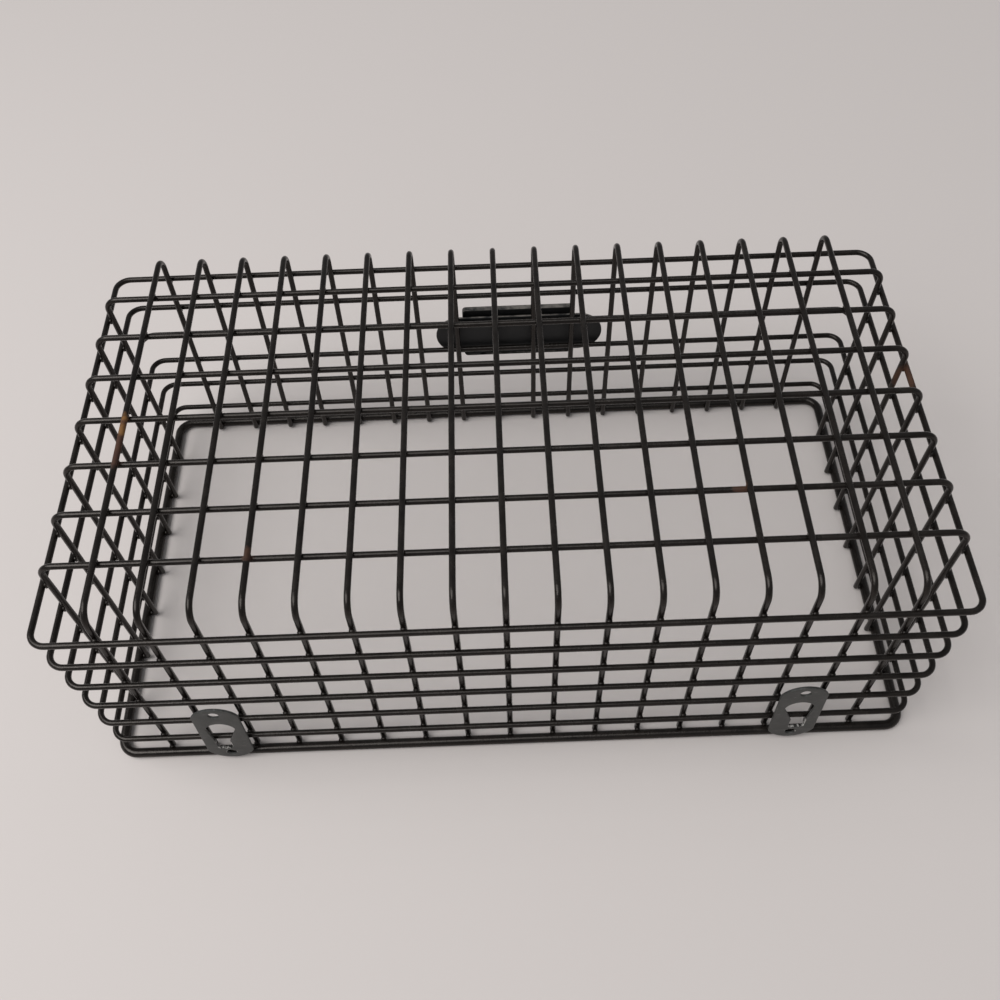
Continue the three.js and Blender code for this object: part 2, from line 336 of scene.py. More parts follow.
def bent_wire(name, corners, radius):
    """A wire with two cut and rounded ends, bent at its inner corners."""
    sizes = wires()
    heading = corners[1] - corners[0]
    piece = begin_section(name, corners[0], heading, sizes.wire, sizes.wire_sides, "NGON")
    place = corners[0]
    for number in range(1, len(corners) - 1):
        place = run_bend(corners[number - 1], corners[number], corners[number + 1], radius, place)
    run_straight(place, corners[-1])
    bpy.ops.mesh.select_all(action="SELECT")
    bpy.ops.mesh.normals_make_consistent(inside=False)
    reach = sizes.wire * 0.51  # just over half a wire, so that the rims of the cut ends are picked
    ends = (corners[0], corners[-1])
    pick_edges(piece, lambda a, b: any(
        (a - end).length < reach and (b - end).length < reach for end in ends))
    bpy.ops.mesh.bevel(offset=sizes.end_round, segments=3, affect="EDGES")
    settle(piece)
    return piece


def hoop(name, half, near, far, z, radius, diameter, sides):
    """A wire bent round four corners and closed."""
    corners = [
        Vector((-half, near, z)), Vector((half, near, z)),
        Vector((half, far, z)), Vector((-half, far, z))]
    start = (corners[3] + corners[0]) / 2
    piece = begin_section(name, start, corners[0] - start, diameter, sides, "NOTHING")
    place = start
    for number in range(4):
        place = run_bend(corners[number - 1], corners[number], corners[(number + 1) % 4], radius, place)
    run_straight(place, start)
    bpy.ops.mesh.select_all(action="SELECT")
    bpy.ops.mesh.remove_doubles(threshold=0.00001)
    bpy.ops.mesh.normals_make_consistent(inside=False)
    settle(piece)
    return piece


def hoop_line(node, diameter):
    """Half length, wall places and height of a hoop's centre line, read from its solid."""
    low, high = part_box(node)
    edge = diameter / 2
    return high.x - edge, low.y + edge, high.y - edge, (low.z + high.z) / 2


def leg_places(z):
    """Half length and wall places of the wire legs at a height; they lie inside the rings."""
    inset = wires().wire + wires().weld_gap
    upper = hoop_line(RING_WIRES[0], wires().wire)
    lower = hoop_line(RING_WIRES[-1], wires().wire)
    share = (z - lower[3]) / (upper[3] - lower[3])
    half, near, far = (low + (high - low) * share for low, high in zip(lower[:3], upper[:3]))
    return half - inset, near + inset, far - inset


def repeat_wire(first, nodes, axis):
    """Copies the first wire to the places of the other solids along one axis."""
    pieces = [first]
    start = middle(nodes[0])
    for node in nodes[1:]:
        move = Vector((0, 0, 0))
        move[axis] = middle(node)[axis] - start[axis]
        choose(first)
        bpy.ops.object.duplicate(linked=False)
        copy = bpy.context.object
        copy.name = f"painted_{node}"
        bpy.ops.transform.translate(value=move)
        bpy.ops.object.transform_apply(location=True, rotation=True, scale=True)
        pieces.append(copy)
    return pieces


# Finishes

def add_node(tree, kind, x, y, **values):
    made = tree.nodes.new(kind)
    made.location = (x, y)
    for key, value in values.items():
        setattr(made, key, value)
    return made


def feed(tree, source, target):
    tree.links.new(source, target)


def math_node(tree, operation, x, y, *values, clamp=False):
    """A Math node whose inputs are sockets or numbers; returns its output."""
    made = add_node(tree, "ShaderNodeMath", x, y, operation=operation, use_clamp=clamp)
    for socket, value in zip(made.inputs, values):
        if isinstance(value, (int, float)):
            socket.default_value = value
        else:
            feed(tree, value, socket)
    return made.outputs[0]


def mix_colour(tree, x, y, factor, first, second):
    """A colour Mix node whose inputs are sockets or colours; returns its output."""
    made = add_node(tree, "ShaderNodeMix", x, y, data_type="RGBA")
    for socket, value in zip((made.inputs[0], made.inputs[6], made.inputs[7]), (factor, first, second)):
        if isinstance(value, bpy.types.NodeSocket):
            feed(tree, value, socket)
        else:
            socket.default_value = value
    return made.outputs[2]


def stretch(tree, x, y, value, low, high, out_low=0.0, out_high=1.0):
    """A clamped Map Range node; returns its output."""
    made = add_node(tree, "ShaderNodeMapRange", x, y)
    feed(tree, value, made.inputs["Value"])
    for key, number in (("From Min", low), ("From Max", high), ("To Min", out_low), ("To Max", out_high)):
        made.inputs[key].default_value = number
    return made.outputs["Result"]


def noise(tree, x, y, vector, scale, detail=3.0, rough=0.5):
    made = add_node(tree, "ShaderNodeTexNoise", x, y)
    feed(tree, vector, made.inputs["Vector"])
    if isinstance(scale, (int, float)):
        made.inputs["Scale"].default_value = scale
    else:
        feed(tree, scale, made.inputs["Scale"])
    made.inputs["Detail"].default_value = detail
    made.inputs["Roughness"].default_value = rough
    return made.outputs["Fac"]


def new_group(name, inputs, outputs):
    """An empty shader node group with named sockets."""
    tree = bpy.data.node_groups.new(name, "ShaderNodeTree")
    for socket, kind, value in inputs:
        made = tree.interface.new_socket(socket, in_out="INPUT", socket_type=kind)
        made.default_value = value
    for socket in outputs:
        tree.interface.new_socket(socket, in_out="OUTPUT", socket_type="NodeSocketFloat")
    entry = add_node(tree, "NodeGroupInput", -900, 0)
    leave = add_node(tree, "NodeGroupOutput", 500, 0)
    return tree, entry.outputs, leave.inputs


def paint_skin():
    """Brushed and dipped paint: slow mottling of its colour and a fine orange peel."""
    name = "Paint Skin"
    if name in bpy.data.node_groups:
        return bpy.data.node_groups[name]
    tree, given, gives = new_group(
        name, [("Mottle Scale", "NodeSocketFloat", 70.0), ("Peel Scale", "NodeSocketFloat", 900.0)],
        ["Mottle", "Peel"])
    place = add_node(tree, "ShaderNodeTexCoord", -900, 250).outputs["Object"]
    mottle = noise(tree, -600, 200, place, given["Mottle Scale"], 4.0, 0.6)
    peel = noise(tree, -600, -100, place, given["Peel Scale"], 2.0)
    feed(tree, stretch(tree, -300, 200, mottle, 0.35, 0.68), gives["Mottle"])
    feed(tree, peel, gives["Peel"])
    return tree


def rust_spot():
    """One patch of rust with a ragged border, round a place on the object."""
    name = "Rust Spot"
    if name in bpy.data.node_groups:
        return bpy.data.node_groups[name]
    tree, given, gives = new_group(
        name,
        [("Centre", "NodeSocketVector", (0, 0, 0)), ("Reach", "NodeSocketVector", (0.01, 0.01, 0.01))],
        ["Mask"])
    place = add_node(tree, "ShaderNodeTexCoord", -900, 300).outputs["Object"]
    away = add_node(tree, "ShaderNodeVectorMath", -650, 200, operation="SUBTRACT")
    feed(tree, place, away.inputs[0])
    feed(tree, given["Centre"], away.inputs[1])
    shares = add_node(tree, "ShaderNodeVectorMath", -450, 200, operation="DIVIDE")
    feed(tree, away.outputs[0], shares.inputs[0])
    feed(tree, given["Reach"], shares.inputs[1])
    far = add_node(tree, "ShaderNodeVectorMath", -250, 200, operation="LENGTH")
    feed(tree, shares.outputs[0], far.inputs[0])
    ragged = noise(tree, -450, -100, place, 420.0, 5.0, 0.65)
    border = math_node(tree, "MULTIPLY_ADD", -50, 50, ragged, 0.9, far.outputs["Value"])
    feed(tree, stretch(tree, 200, 50, border, 1.5, 1.15), gives["Mask"])
    return tree


def top_dust_and_highlight():
    """Dust that lies in uneven patches on whatever faces up; at a high amount it is a painted highlight on
    the upward faces.
    """
    name = "Top Dust"
    if name in bpy.data.node_groups:
        return bpy.data.node_groups[name]
    tree, given, gives = new_group(name, [("Amount", "NodeSocketFloat", 0.2)], ["Mask"])
    normal = add_node(tree, "ShaderNodeNewGeometry", -900, 300).outputs["Normal"]
    parts = add_node(tree, "ShaderNodeSeparateXYZ", -650, 300)
    feed(tree, normal, parts.inputs[0])
    upward = stretch(tree, -400, 300, parts.outputs["Z"], 0.35, 1.0)
    place = add_node(tree, "ShaderNodeTexCoord", -900, -200).outputs["Object"]
    patches = stretch(tree, -400, -100, noise(tree, -650, -100, place, 160.0, 5.0, 0.7), 0.38, 0.7)
    lying = math_node(tree, "MULTIPLY", -100, 100, upward, patches)
    feed(tree, math_node(tree, "MULTIPLY", 150, 100, lying, given["Amount"], clamp=True), gives["Mask"])
    return tree


def edge_wear_and_glint():
    """Paint worn off the sheet's edges, in broken stretches; where an edge's share runs above 1, as at the
    hanger slot's teeth, the bright metal is also a painted glint.
    """
    name = "Edge Wear"
    if name in bpy.data.node_groups:
        return bpy.data.node_groups[name]
    tree, given, gives = new_group(name, [("Amount", "NodeSocketFloat", 0.6)], ["Mask"])
    edge = add_node(tree, "ShaderNodeAttribute", -900, 300, attribute_name="edge").outputs["Fac"]
    place = add_node(tree, "ShaderNodeTexCoord", -900, -100).outputs["Object"]
    broken = stretch(tree, -400, -100, noise(tree, -650, -100, place, 330.0, 4.0, 0.65), 0.45, 0.62)
    rubbed_and_glinting = math_node(tree, "MULTIPLY", -100, 100, edge, broken)
    feed(tree, math_node(tree, "MULTIPLY", 150, 100, rubbed_and_glinting, given["Amount"], clamp=True), gives["Mask"])
    return tree


def use_group(tree, group, x, y, **values):
    made = add_node(tree, "ShaderNodeGroup", x, y, node_tree=group())
    for key, value in values.items():
        made.inputs[key.replace("_", " ")].default_value = value
    return made.outputs


def new_finish(name, roughness):
    """A material with a Principled shader; returns its node tree and the shader."""
    material = bpy.data.materials.new(name)
    material.use_nodes = True
    tree = material.node_tree
    shader = tree.nodes["Principled BSDF"]
    shader.location = (600, 0)
    tree.nodes["Material Output"].location = (900, 0)
    shader.inputs["Roughness"].default_value = roughness
    return material, tree, shader


def bump(tree, shader, height, strength, depth):
    made = add_node(tree, "ShaderNodeBump", 350, -400)
    made.inputs["Strength"].default_value = strength
    made.inputs["Distance"].default_value = depth
    feed(tree, height, made.inputs["Height"])
    feed(tree, made.outputs["Normal"], shader.inputs["Normal"])


def rust_places():
    """Centre, reach, freshness and strength of each rust patch.

    Two lie along the first cross wire, the one nearer to the label side fresh; the others lie at the
    right end and at two welds of the closed face.
    """
    left = middle(CROSS_WIRES[0]).x
    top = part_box(CROSS_WIRES[0])[1].z
    fourth = middle(LONG_WIRES[3]).y
    third = middle(LONG_WIRES[2]).y
    ring_half, _, _, ring_z = hoop_line(RING_WIRES[0], wires().wire)
    right_weld = middle(CROSS_WIRES[13]).x, middle(LONG_WIRES[5]).y
    left_weld = middle(CROSS_WIRES[3]).x, middle(LONG_WIRES[6]).y
    return [
        ((left, fourth - 0.0175, top - 0.001), (0.004, 0.0125, 0.004), 0.12, 0.95),
        ((left, fourth - 0.0062, top - 0.001), (0.004, 0.0068, 0.004), 1.0, 1.0),
        ((ring_half - 0.001, third - 0.006, ring_z - 0.004), (0.006, 0.011, 0.010), 0.16, 0.85),
        ((right_weld[0] - 0.003, right_weld[1], top - 0.003), (0.0040, 0.0025, 0.003), 0.3, 0.7),
        ((left_weld[0], left_weld[1], top - 0.0015), (0.003, 0.004, 0.0035), 0.2, 0.6),
    ]


def wire_finish():
    """Black paint on wire, with faded stretches, a faint grey film on top and a few rust patches."""
    name = "Black Wire Paint"
    if name in bpy.data.materials:
        return bpy.data.materials[name]
    look = paint()
    material, tree, shader = new_finish(name, 0.35)
    shader.inputs["Specular IOR Level"].default_value = 0.32
    shader.inputs["Specular Tint"].default_value = (1.0, 0.92, 0.86, 1.0)
    skin = use_group(tree, paint_skin, -900, 300, Mottle_Scale=85.0, Peel_Scale=1100.0)
    base = mix_colour(tree, -600, 300, skin["Mottle"], look.wire_black, look.wire_faded)
    dust_and_highlight = use_group(tree, top_dust_and_highlight, -900, 0, Amount=0.04)
    colour = mix_colour(tree, -350, 300, dust_and_highlight["Mask"], base, look.dust_and_highlight)
    place = add_node(tree, "ShaderNodeTexCoord", -1300, 700).outputs["Object"]
    flakes = noise(tree, -1100, 650, place, 260.0, 5.0, 0.7)
    bright = stretch(tree, -900, 750, flakes, 0.32, 0.56)
    rust = 0.0
    for number, (centre, reach, fresh, strength) in enumerate(rust_places()):
        y = -250 - 200 * number
        spot = use_group(tree, rust_spot, -1100, y, Centre=centre, Reach=reach)["Mask"]
        share = math_node(tree, "MULTIPLY", -900, y, spot, strength)
        light = math_node(tree, "MULTIPLY", -900, 900 + 200 * number, bright, fresh)
        rusty = mix_colour(tree, -700, 900 + 200 * number, light, look.rust_dark, look.rust_light)
        colour = mix_colour(tree, -300 + 60 * number, 300, share, colour, rusty)
        rust = math_node(tree, "MAXIMUM", -700, y, share, rust)
    feed(tree, colour, shader.inputs["Base Color"])
    gloss = stretch(tree, -350, 0, skin["Mottle"], 0.0, 1.0, 0.19, 0.31)
    rough = math_node(tree, "MULTIPLY_ADD", 100, 0, rust, 0.45, gloss, clamp=True)
    feed(tree, rough, shader.inputs["Roughness"])
    scale = math_node(tree, "MULTIPLY", -100, -400, rust, flakes)
    height = math_node(tree, "MULTIPLY_ADD", 100, -400, scale, 3.0, skin["Peel"])
    bump(tree, shader, height, 0.35, 0.0002)
    return material


def plate_finish():
    """Worn dark paint on the hanger plates, scratched, with worn edges and painted glints at the slot's
    teeth.
    """
    name = "Worn Plate Paint With Painted Glints"
    if name in bpy.data.materials:
        return bpy.data.materials[name]
    look = paint()
    material, tree, shader = new_finish(name, 0.5)
    shader.inputs["Metallic"].default_value = 0.2
    skin = use_group(tree, paint_skin, -900, 300, Mottle_Scale=150.0, Peel_Scale=1500.0)
    faded = tuple(1.5 * part for part in look.plate_grey[:3]) + (1.0,)
    base = mix_colour(tree, -600, 300, skin["Mottle"], look.plate_grey, faded)
    place = add_node(tree, "ShaderNodeTexCoord", -1300, -200).outputs["Object"]
    turned = add_node(tree, "ShaderNodeMapping", -1100, -200)
    turned.inputs["Rotation"].default_value = (0.0, 0.7, 0.0)
    turned.inputs["Scale"].default_value = (1.0, 1.0, 14.0)
    feed(tree, place, turned.inputs["Vector"])
    scratches = stretch(tree, -600, -150, noise(tree, -850, -150, turned.outputs[0], 210.0, 2.0), 0.66, 0.74)
    scratched = mix_colour(
        tree, -350, 250, math_node(tree, "MULTIPLY", -400, -150, scratches, 0.35), base, look.worn_metal_and_glint)
    # Bright metal along the edges: worn paint, and at the slot's teeth a painted glint.
    wear_and_glint = use_group(tree, edge_wear_and_glint, -900, -450, Amount=1.0)["Mask"]
    feed(tree, mix_colour(tree, 50, 250, wear_and_glint, scratched, look.worn_metal_and_glint), shader.inputs["Base Color"])
    feed(tree, stretch(tree, 50, -50, skin["Mottle"], 0.0, 1.0, 0.42, 0.58), shader.inputs["Roughness"])
    bump(tree, shader, skin["Peel"], 0.25, 0.0002)
    return material


def label_finish():
    """Matt black paint on the label holder's sheet, with a painted highlight on its upward faces."""
    name = "Matt Label Paint With Painted Highlight"
    if name in bpy.data.materials:
        return bpy.data.materials[name]
    look = paint()
    material, tree, shader = new_finish(name, 0.55)
    shader.inputs["Specular IOR Level"].default_value = 0.35
    skin = use_group(tree, paint_skin, -900, 300, Mottle_Scale=110.0, Peel_Scale=1300.0)
    faded = tuple(1.6 * part for part in look.label_black[:3]) + (1.0,)
    base = mix_colour(tree, -600, 300, skin["Mottle"], look.label_black, faded)
    wear_and_glint = use_group(tree, edge_wear_and_glint, -900, -150, Amount=0.06)["Mask"]
    rubbed_and_glinting = mix_colour(tree, -300, 250, wear_and_glint, base, look.worn_metal_and_glint)
    # Upward faces, such as the tray's lip, turn pale grey at this amount: a painted highlight where light
    # falls on them.
    dust_and_highlight = use_group(tree, top_dust_and_highlight, -900, 550, Amount=1.5)["Mask"]
    feed(tree, mix_colour(tree, 0, 250, dust_and_highlight, rubbed_and_glinting, look.dust_and_highlight), shader.inputs["Base Color"])
    feed(tree, stretch(tree, -300, -50, skin["Mottle"], 0.0, 1.0, 0.48, 0.62), shader.inputs["Roughness"])
    bump(tree, shader, skin["Peel"], 0.25, 0.0002)
    return material


def mark_edges(piece, normal, worn):
    """Marks the faces of the sheet's edge with how worn the paint is at their places; a share above 1 also
    paints glints.
    """
    mesh = piece.data
    edge = mesh.attributes.new("edge", "FLOAT", "FACE")
    for face in mesh.polygons:
        edge.data[face.index].value = 0.0 if abs(face.normal.dot(normal)) > 0.985 else worn(face.center)


# Sheet fittings

def arc(x, y, radius, start, end, steps):
    """Points of an arc, angles in radians."""
    angles = [start + (end - start) * step / steps for step in range(steps + 1)]
    return [(x + radius * math.cos(angle), y + radius * math.sin(angle)) for angle in angles]


def flat_sheet(name, outlines, thickness, edge_round):
    """A sheet with rounded edges: the first outline less the others, thick along Z from 0."""
    sheet = bpy.data.curves.new(name, "CURVE")
    sheet.dimensions = "2D"
    sheet.fill_mode = "BOTH"
    sheet.extrude = thickness / 2 - edge_round
    sheet.bevel_depth = edge_round
    sheet.bevel_resolution = 2
    sheet.offset = -edge_round
    for outline in outlines:
        spline = sheet.splines.new("POLY")
        spline.points.add(len(outline) - 1)
        for point, (x, y) in zip(spline.points, outline):
            point.co = (x, y, 0.0, 1.0)
        spline.use_cyclic_u = True
    piece = bpy.data.objects.new(name, sheet)
    bpy.context.scene.collection.objects.link(piece)
    choose(piece)
    bpy.ops.object.convert(target="MESH")
    piece = bpy.context.object
    bpy.ops.object.mode_set(mode="EDIT")
    bpy.ops.mesh.select_all(action="SELECT")
    bpy.ops.mesh.remove_doubles(threshold=0.000005)
    bpy.ops.mesh.normals_make_consistent(inside=False)
    bpy.ops.transform.translate(value=(0, 0, thickness / 2))
    bpy.ops.object.mode_set(mode="OBJECT")
    return piece


def hanger_outlines(width, length, side):
    """Outline with arched ends, two round holes and the toothed slot; Y runs up from the rim end.

    The slot's narrow end lies off the plate's middle, towards the given side.
    """
    sizes = plates()
    half = width / 2
    radius = (half * half + sizes.arch * sizes.arch) / (2 * sizes.arch)
    spread = math.asin(half / radius)
    quarter = math.pi / 2
    outline = arc(0, radius, radius, 3 * quarter - spread, 3 * quarter + spread, 40)
    outline += arc(0, length - radius, radius, quarter - spread, quarter + spread, 40)
    holes = []
    for y in (sizes.hole_inset, length - sizes.hole_inset):
        holes.append(arc(0, y, sizes.hole / 2, 2 * math.pi, 0, 40)[:-1])
    wide = sizes.slot_width / 2
    crown = (wide * wide + sizes.slot_crown * sizes.slot_crown) / (2 * sizes.slot_crown)
    spread = math.asin(min(1.0, wide / crown))
    slot = arc(0, length - sizes.slot_head - crown, crown, quarter - spread, quarter + spread, 40)
    neck_left = side * sizes.slot_skew - sizes.slot_neck / 2
    neck_right = neck_left + sizes.slot_neck
    tip = sizes.slot_foot + sizes.tooth_height
    pitch = sizes.slot_neck / sizes.tooth_count
    slot.append((neck_left, tip + sizes.slot_throat))
    for tooth in range(sizes.tooth_count):
        left = neck_left + pitch * tooth
        slot.append((left, tip))
        slot.append((left + pitch / 2, sizes.slot_foot))
    slot.append((neck_right, tip))
    slot.append((neck_right, tip + sizes.slot_throat))
    return [outline, *holes, slot[::-1]]


def block(name, low, high, corner):
    """A block between two corners of space, its edges along Y rounded."""
    choose()
    bpy.ops.mesh.primitive_cube_add(size=1, location=(low + high) / 2, scale=high - low)
    piece = bpy.context.object
    piece.name = name
    bpy.ops.object.transform_apply(location=True, rotation=True, scale=True)
    pick_edges(piece, lambda a, b: abs(a.x - b.x) < 1e-7 and abs(a.z - b.z) < 1e-7)
    bpy.ops.mesh.bevel(offset=corner, segments=6, affect="EDGES")
    object_mode()
    return piece


def cut(piece, cutter):
    """Takes one shape out of another and removes it."""
    apply_modifier(piece, "BOOLEAN", operation="DIFFERENCE", solver="EXACT", object=cutter)
    choose(cutter)
    bpy.ops.object.delete()


class BASKET_OT_rim_rod(bpy.types.Operator):
    """Bends the round rod of the rim"""

    bl_idname = "basket.rim_rod"
    bl_label = "Rim Rod"

    def execute(self, context):
        sizes = wires()
        half, near, far, z = hoop_line("rim_rod", sizes.rim)
        piece = hoop("painted_rim_rod", half, near, far, z, sizes.rim_corner, sizes.rim, sizes.rim_sides)
        dress(piece, wire_finish(), "rim_paint", "rim_rod")
        return {"FINISHED"}


class BASKET_OT_ring_wires(bpy.types.Operator):
    """Bends the ring wires round the walls"""

    bl_idname = "basket.ring_wires"
    bl_label = "Ring Wires"

    def execute(self, context):
        sizes = wires()
        for node in RING_WIRES:
            half, near, far, z = hoop_line(node, sizes.wire)
            piece = hoop(
                f"painted_{node}", half, near, far, z, sizes.ring_corner, sizes.wire, sizes.wire_sides)
            dress(piece, wire_finish(), "wire_paint", node)
        return {"FINISHED"}


class BASKET_OT_cross_wires(bpy.types.Operator):
    """Bends one cross wire over the closed face and repeats it"""

    bl_idname = "basket.cross_wires"
    bl_label = "Cross Wires"

    def execute(self, context):
        sizes = wires()
        low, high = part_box(CROSS_WIRES[0])
        x = middle(CROSS_WIRES[0]).x
        top = high.z - sizes.wire / 2
        _, near, far = leg_places(top)
        _, near_foot, far_foot = leg_places(low.z)
        corners = [
            Vector((x, near_foot, low.z)), Vector((x, near, top)),
            Vector((x, far, top)), Vector((x, far_foot, low.z))]
        first = bent_wire(f"painted_{CROSS_WIRES[0]}", corners, sizes.cross_bend)
        for node, piece in zip(CROSS_WIRES, repeat_wire(first, CROSS_WIRES, 0)):
            dress(piece, wire_finish(), "wire_paint", node)
        return {"FINISHED"}


class BASKET_OT_long_wires(bpy.types.Operator):
    """Bends one long wire under the cross wires and repeats it"""

    bl_idname = "basket.long_wires"
    bl_label = "Long Wires"

    def execute(self, context):
        sizes = wires()
        low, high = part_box(LONG_WIRES[0])
        y = middle(LONG_WIRES[0]).y
        top = high.z - sizes.wire / 2
        half = leg_places(top)[0]
        foot = leg_places(low.z)[0]
        corners = [
            Vector((-foot, y, low.z)), Vector((-half, y, top)),
            Vector((half, y, top)), Vector((foot, y, low.z))]
        first = bent_wire(f"painted_{LONG_WIRES[0]}", corners, sizes.long_bend)
        for node, piece in zip(LONG_WIRES, repeat_wire(first, LONG_WIRES, 1)):
            dress(piece, wire_finish(), "wire_paint", node)
        return {"FINISHED"}


def bead(name, place, turn):
    """One weld bead: a flattened ball, drawn out into the four corners between two wires."""
    sizes = wires()
    choose()
    bpy.ops.mesh.primitive_uv_sphere_add(segments=8, ring_count=6, radius=sizes.bead_width / 2)
    piece = bpy.context.object
    piece.name = name
    bpy.ops.object.mode_set(mode="EDIT")
    bpy.ops.mesh.select_all(action="SELECT")
    bpy.ops.transform.resize(value=(1, 1, sizes.bead_height / sizes.bead_width))
    near = sizes.bead_width / 8
    pick_edges(piece, lambda a, b: all(min(abs(p.x), abs(p.y)) < near for p in (a, b)))
    bpy.ops.transform.resize(value=(sizes.bead_pinch, sizes.bead_pinch, 1))
    bpy.ops.object.mode_set(mode="OBJECT")
    piece.rotation_euler = turn
    piece.location = place
    bpy.ops.object.transform_apply(location=True, rotation=True, scale=True)
    return piece


def bead_row(piece, count, offset):
    if count > 1:
        apply_modifier(
            piece, "ARRAY", use_relative_offset=False, use_constant_offset=True,
            constant_offset_displace=offset, count=count)


def finish_beads(name, pieces):
    """Joins rows of beads, makes them uneven and paints them."""
    choose(*pieces)
    bpy.ops.object.join()
    piece = bpy.context.object
    piece.name = name
    lumps = bpy.data.textures.get("Weld Lumps") or bpy.data.textures.new("Weld Lumps", "CLOUDS")
    lumps.noise_scale = 0.004
    apply_modifier(
        piece, "DISPLACE", texture=lumps, texture_coords="LOCAL", mid_level=0.5,
        strength=wires().bead_lump)
    settle(piece, 80)
    dress(piece, wire_finish(), "wire_paint")


class BASKET_OT_weld_beads(bpy.types.Operator):
    """Sets a weld bead at every crossing of two wires"""

    bl_idname = "basket.weld_beads"
    bl_label = "Weld Beads"

    def execute(self, context):
        sizes = wires()
        x = [middle(node).x for node in CROSS_WIRES]
        y = [middle(node).y for node in LONG_WIRES]
        along = (x[1] - x[0], 0, 0)
        across = (0, y[1] - y[0], 0)
        face_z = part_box(LONG_WIRES[0])[1].z + sizes.weld_gap / 2
        grid = bead("weld_beads_face", (x[0], y[0], face_z), (0, 0, 0))
        bead_row(grid, len(x), along)
        bead_row(grid, len(y), across)
        finish_beads("weld_beads_face", [grid])
        wall = (math.pi / 2, 0, 0)
        end = (0, math.pi / 2, 0)
        for node in [*RING_WIRES, "rim_rod"]:
            diameter = sizes.rim if node == "rim_rod" else sizes.wire
            half, near, far, z = hoop_line(node, diameter)
            inset = (diameter + sizes.weld_gap) / 2
            rows = []
            for place in (near + inset, far - inset):
                rows.append(bead("row", (x[0], place, z), wall))
                bead_row(rows[-1], len(x), along)
            for place in (inset - half, half - inset):
                rows.append(bead("row", (place, y[0], z), end))
                bead_row(rows[-1], len(y), across)
            finish_beads(f"weld_beads_{node}", rows)
        return {"FINISHED"}


class BASKET_OT_hanger_plates(bpy.types.Operator):
    """Cuts the two hanger plates and leans them against the rim and a ring"""

    bl_idname = "basket.hanger_plates"
    bl_label = "Hanger Plates"

    def execute(self, context):
        sizes = plates()
        look = paint()
        mounts = {mount["name"]: mount for mount in frame["record"]["mounts"]}
        for node, mount_name in HANGERS.items():
            low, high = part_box(node)
            mount = mounts[mount_name]
            normal = Vector(mount["axis"]).normalized()
            up = normal.cross(Vector((1, 0, 0)))
            length = (high.z - low.z - sizes.thickness * normal.z) / up.z
            back = Vector(mount["pos_m"]) - normal * sizes.thickness
            foot = back + up * ((low.z - back.z) / up.z)
            foot.x = middle(node).x
            outlines = hanger_outlines(high.x - low.x, length, math.copysign(1, foot.x))
            piece = flat_sheet(f"painted_{node}", outlines, sizes.thickness, sizes.edge_round)
            rubbed_and_glinting = sizes.slot_foot + sizes.tooth_height + sizes.slot_throat
            # The slot's teeth get a high share: their bright metal is partly worn paint, partly painted
            # glints.
            mark_edges(piece, Vector((0, 0, 1)), lambda place: (
                look.tooth_wear_and_glint if abs(place.x) < sizes.slot_neck and sizes.hole < place.y < rubbed_and_glinting
                else look.rim_wear))
            turn = Matrix((Vector((1, 0, 0)), up, normal)).transposed().to_4x4()
            piece.matrix_world = Matrix.Translation(foot) @ turn
            settle(piece, 50)
            dress(piece, plate_finish(), "plate_paint", node)
        return {"FINISHED"}


class BASKET_OT_label_plate(bpy.types.Operator):
    """Cuts the round-ended plate of the label holder"""

    bl_idname = "basket.label_plate"
    bl_label = "Label Plate"

    def execute(self, context):
        sizes = plates()
        low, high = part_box("label_plate")
        radius = (high.z - low.z) / 2
        x = (high.x - low.x) / 2 - radius
        quarter = math.pi / 2
        outline = arc(x, 0, radius, -quarter, quarter, 40) + arc(-x, 0, radius, quarter, 3 * quarter, 40)
        piece = flat_sheet("painted_label_plate", [outline], high.y - low.y, sizes.edge_round)
        mark_edges(piece, Vector((0, 0, 1)), lambda place: 1.0)
        piece.rotation_euler = (math.pi / 2, 0, 0)
        centre = middle("label_plate")
        piece.location = (centre.x, high.y, centre.z)
        settle(piece, 50)
        dress(piece, label_finish(), "label_paint", "label_plate")
        return {"FINISHED"}


class BASKET_OT_label_frame(bpy.types.Operator):
    """Forms the label holder's tray and card frame"""

    bl_idname = "basket.label_frame"
    bl_label = "Label Frame"

    def execute(self, context):
        sizes = plates()
        low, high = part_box("label_frame")
        high.y = low.y + sizes.tray_depth + sizes.card_slot + sizes.sheet
        clear = Vector((0, sizes.sheet, 0))
        inset = Vector((sizes.sheet, 0, sizes.sheet))
        piece = block("painted_label_frame", low, high, sizes.tray_corner)
        hollow_high = Vector((high.x, low.y + sizes.tray_depth - sizes.sheet, high.z)) - inset
        cut(piece, block("hollow", low + inset - clear, hollow_high, sizes.tray_corner - sizes.sheet / 2))
        card_y = low.y + sizes.tray_depth
        card_low = Vector((low.x + sizes.card_edge, card_y, low.z - sizes.card_edge))
        card_high = Vector((high.x - sizes.card_edge, card_y + sizes.card_slot, high.z - sizes.card_edge))
        cut(piece, block("card", card_low, card_high, sizes.tray_corner / 2))
        margin = Vector((sizes.frame_width, 0, sizes.frame_width))
        window_low = Vector((low.x, card_y + sizes.card_slot / 2, low.z)) + margin
        cut(piece, block("window", window_low, high + clear - margin, sizes.tray_corner))
        apply_modifier(
            piece, "BEVEL", width=sizes.tray_edge, segments=2, limit_method="ANGLE",
            angle_limit=math.radians(50))
        mark_edges(piece, Vector((0, 1, 0)), lambda place: 1.0)
        settle(piece, 45)
        dress(piece, label_finish(), "label_paint", "label_frame")
        return {"FINISHED"}


